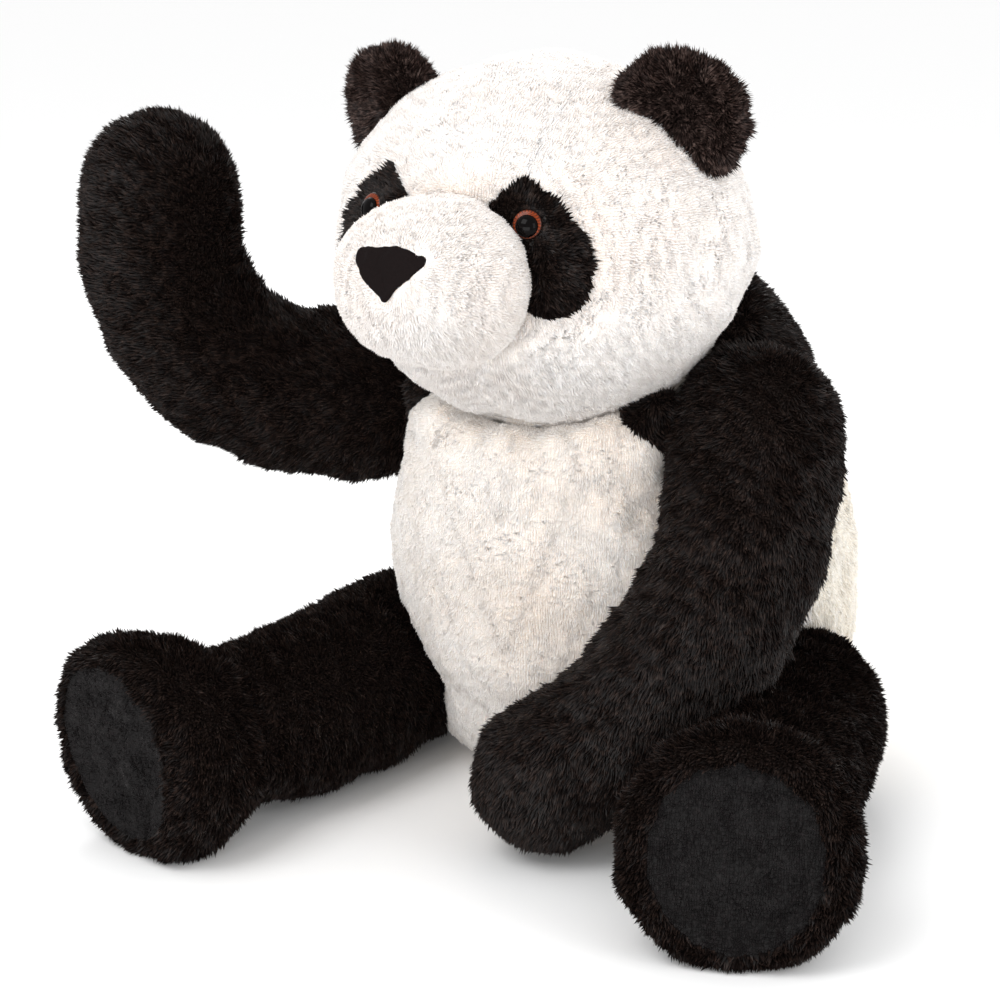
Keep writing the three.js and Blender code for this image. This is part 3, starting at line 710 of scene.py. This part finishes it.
muzzleStyle = {"muzzle_cover": dict(white, thin=roundNose, seed=81)}
muzzleSkin = {"voxel": 0.0085, "rounds": 18, "swell": 0.001, "pressure": 2.0, "cap": 0.006}
muzzleForm = softForm("head", ["muzzle_cover"], "muzzle_stuffing", muzzleSkin)
coverPieces(muzzleForm, "head", ["muzzle_cover"], muzzleStyle, fromNose)

# nose: smooth cloth over a wad, gathered into creases towards its lower point
noseSize = {"voxel": 0.0016, "raise": 0.0032, "swell": 0.0012, "crease": 0.0012, "creases": 9.0}
nose = remeshed(["nose_patch"], noseSize["voxel"])
smoothed(nose.data, 10)
co = coords(nose.data)
bottom = co[:, 2].min()
fan = (co[:, 0] - co[:, 0].mean()) / (co[:, 2] - bottom + 0.02)
push = noseSize["raise"] * unit(co - muzzleMiddle)
pleat = noseSize["crease"] * np.sin(fan * noseSize["creases"] + 1.2 * wave(co, 0.02, 7))
setCoords(nose.data, co + push + vertexNormals(nose.data) * (noseSize["swell"] + pleat)[:, None])
nose = subdivided(nose, 1)
nose.data.shade_smooth()
nose.name = "nose"
own(nose, "head", ["nose_patch"], noseCloth)

# eyes: an amber ring under a black glass-clear dome
eyeSize = {"iris": 0.014, "lip": 0.0012, "raised": 0.0006, "pupil": 0.0106, "rise": 0.0062,
           "lower": 0.0019, "gap": 0.0008, "segments": 64}


def turnedPart(name, profile, segments, place, axis):
    # spins a profile of (radius, height) about the axis, from the middle out
    bm = bmesh.new()
    verts = [bm.verts.new((r, 0, h)) for r, h in profile]
    edges = [bm.edges.new(pair) for pair in zip(verts, verts[1:])]
    bmesh.ops.spin(bm, geom=verts + edges, cent=(0, 0, 0), axis=(0, 0, 1), angle=2 * math.pi,
                   steps=segments, use_duplicate=False)
    bmesh.ops.remove_doubles(bm, verts=bm.verts, dist=1e-6)
    bmesh.ops.recalc_face_normals(bm, faces=bm.faces)
    mesh = bpy.data.meshes.new(name)
    flat = [math.hypot(v.co.x, v.co.y) for v in bm.verts]
    turn = [math.atan2(v.co.y, v.co.x) for v in bm.verts]
    facing = Vector(axis).to_track_quat("Z", "Y").to_matrix().to_4x4()
    bmesh.ops.transform(bm, matrix=facing, verts=bm.verts)
    bmesh.ops.translate(bm, vec=place, verts=bm.verts)
    bm.to_mesh(mesh)
    bm.free()
    for label, values in (("ring", flat), ("turn", turn)):
        attribute = mesh.attributes.new(label, "FLOAT", "POINT")
        attribute.data.foreach_set("value", values)
    mesh.shade_smooth()
    return link(mesh, name)


for side in ("left", "right"):
    disc = coords(nodes[side + "_eye_iris"].data)
    middle = disc.mean(axis=0)
    axis = np.linalg.svd(disc - middle)[2][2]
    axis = axis * (-1 if axis[1] > 0 else 1)
    half = np.abs((disc - middle) @ axis).max()
    r, lip = eyeSize["iris"], eyeSize["lip"]
    profile = [(0, -half), (r - lip, -half), (r, -half + lip), (r, half - lip), (r - lip, half),
               (r * 0.8, half + eyeSize["raised"]), (0, half + eyeSize["raised"])]
    own(turnedPart(side + "_iris", profile, eyeSize["segments"], middle, axis), "head",
        [side + "_eye_iris"], irisGlass)
    arc = [(math.sin(a), math.cos(a)) for a in np.linspace(0, math.pi / 2, 14)]
    dome = [(eyeSize["pupil"] * x, eyeSize["rise"] * y) for x, y in arc] + [(0, 0)]
    lower = unit(np.cross(np.cross(axis, [0, 0, -1.0]), axis)) * eyeSize["lower"]
    seat = middle + lower + axis * (half + eyeSize["gap"])
    own(turnedPart(side + "_pupil", dome, eyeSize["segments"], seat, axis), "head",
        [side + "_eye_pupil"], blackGlass)
    for part in ("shank", "washer"):
        nodes[f"{side}_eye_{part}"].data.materials[0] = nylon
print("head done")

# ears
earSkin = {"voxel": 0.007, "rounds": 12, "swell": 0.001, "pressure": 1.5, "cap": 0.004}
earStyle = dict(black, material=earPilePaintedHighlight, length=0.0095, lean=0.8)
for side in ("left", "right"):
    covers = [side + "_ear_front", side + "_ear_back"]
    middle = middleOf(side + "_ear_stuffing")
    styles = {name: dict(earStyle, seed=90 + i) for i, name in enumerate(covers)}
    ear = softForm("head", covers, side + "_ear_stuffing", earSkin)
    coverPieces(ear, "head", covers, styles, lambda p, n, m=middle: unit(p - m))

# arms
armSkin = {"voxel": 0.011, "rounds": 30, "swell": 0.0, "pressure": 2.5, "cap": 0.006}
for side in ("left", "right"):
    covers = [side + "_arm_front", side + "_arm_back"]
    joint = next(j for j in frame["joints"] if j["child"] == side + "_arm")
    root = np.array(joint["pos_m"])
    low, high = (np.array(c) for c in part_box(side + "_arm_stuffing"))
    paw = np.array([low[0], low[1], low[2] if side == "left" else high[2]])

    def toPaw(points, normals, root=root, paw=paw):
        # arm pile lies towards the paw, and a little downwards
        return unit(paw - root) * 0.8 + unit(points - root) * 0.6 + np.array([0, 0, -0.5])

    styles = {name: dict(black, seed=100 + i) for i, name in enumerate(covers)}
    arm = softForm(side + "_arm", covers, side + "_arm_stuffing", armSkin)
    coverPieces(arm, side + "_arm", covers, styles, toPaw)
print("arms done")

# legs
legSkin = {"voxel": 0.011, "rounds": 30, "swell": 0.002, "pressure": 3.0, "cap": 0.012}
soleStyle = dict(black, material=soleNap, length=0.0016, lean=0.4, stray=0.3, ripple=(0.0042, 0.042),
                 seed=130)
for side in ("left", "right"):
    covers = [side + "_leg_inner", side + "_leg_outer"]
    pad = side + "_sole_pad"
    joint = next(j for j in frame["joints"] if j["child"] == side + "_leg")
    root = np.array(joint["pos_m"])
    sole = middleOf(pad)

    def toSole(points, normals, root=root, sole=sole):
        # leg pile lies towards the sole, and a little downwards
        return unit(sole - root) * 0.9 + np.array([0, 0, -0.35])

    styles = {name: dict(black, seed=120 + i) for i, name in enumerate(covers)}
    styles[pad] = soleStyle
    leg = softForm(side + "_leg", covers + [pad], side + "_leg_stuffing", legSkin)
    coverPieces(leg, side + "_leg", covers + [pad], styles, toSole)
print("legs done")

nodes["seat_pellet_bag"].data.materials[0] = cottonBag

# floor, light, camera
bm = bmesh.new()
bmesh.ops.create_grid(bm, x_segments=2, y_segments=2, size=60)
floorMesh = bpy.data.meshes.new("floor")
bm.to_mesh(floorMesh)
bm.free()
floor = link(floorMesh, "floor")
paper, tree, shader = newMaterial("white studio paper")
shader.inputs["Base Color"].default_value = srgb("#fbfbfb")
shader.inputs["Roughness"].default_value = 0.9
floor.data.materials.append(paper)

world = bpy.data.worlds.new("studio")
scene.world = world
world.use_nodes = True
world.node_tree.nodes["Background"].inputs[0].default_value = (1, 1, 1, 1)
world.node_tree.nodes["Background"].inputs[1].default_value = 1.0


def softbox(name, place, aim, size, power):
    data = bpy.data.lights.new(name, "AREA")
    data.shape = "RECTANGLE"
    data.size, data.size_y = size
    data.energy = power
    lamp = bpy.data.objects.new(name, data)
    scene.collection.objects.link(lamp)
    lamp.location = place
    lamp.rotation_euler = (Vector(aim) - Vector(place)).to_track_quat("-Z", "Y").to_euler()


softbox("key", (-0.4, -2.6, 3.0), (0, -0.1, 0.3), (1.8, 1.8), 50)
softbox("front", (0.9, -3.4, 0.7), (0, -0.2, 0.3), (2.6, 1.2), 38)
softbox("fill", (3.2, -1.0, 1.6), (0, 0, 0.35), (1.5, 2.0), 26)
softbox("rim", (-1.8, 2.2, 2.4), (0, 0, 0.4), (2.0, 1.2), 35)

lens = bpy.data.cameras.new("camera")
lens.lens = 99.4
lens.sensor_width = 36
camera = bpy.data.objects.new("camera", lens)
scene.collection.objects.link(camera)
camera.location = (1.3564, -2.4646, 1.0454)
aim = Vector((-0.1037, -0.0819, 0.2704))
camera.rotation_euler = (aim - camera.location).to_track_quat("-Z", "Y").to_euler()
scene.camera = camera
scene.view_settings.view_transform = "Standard"
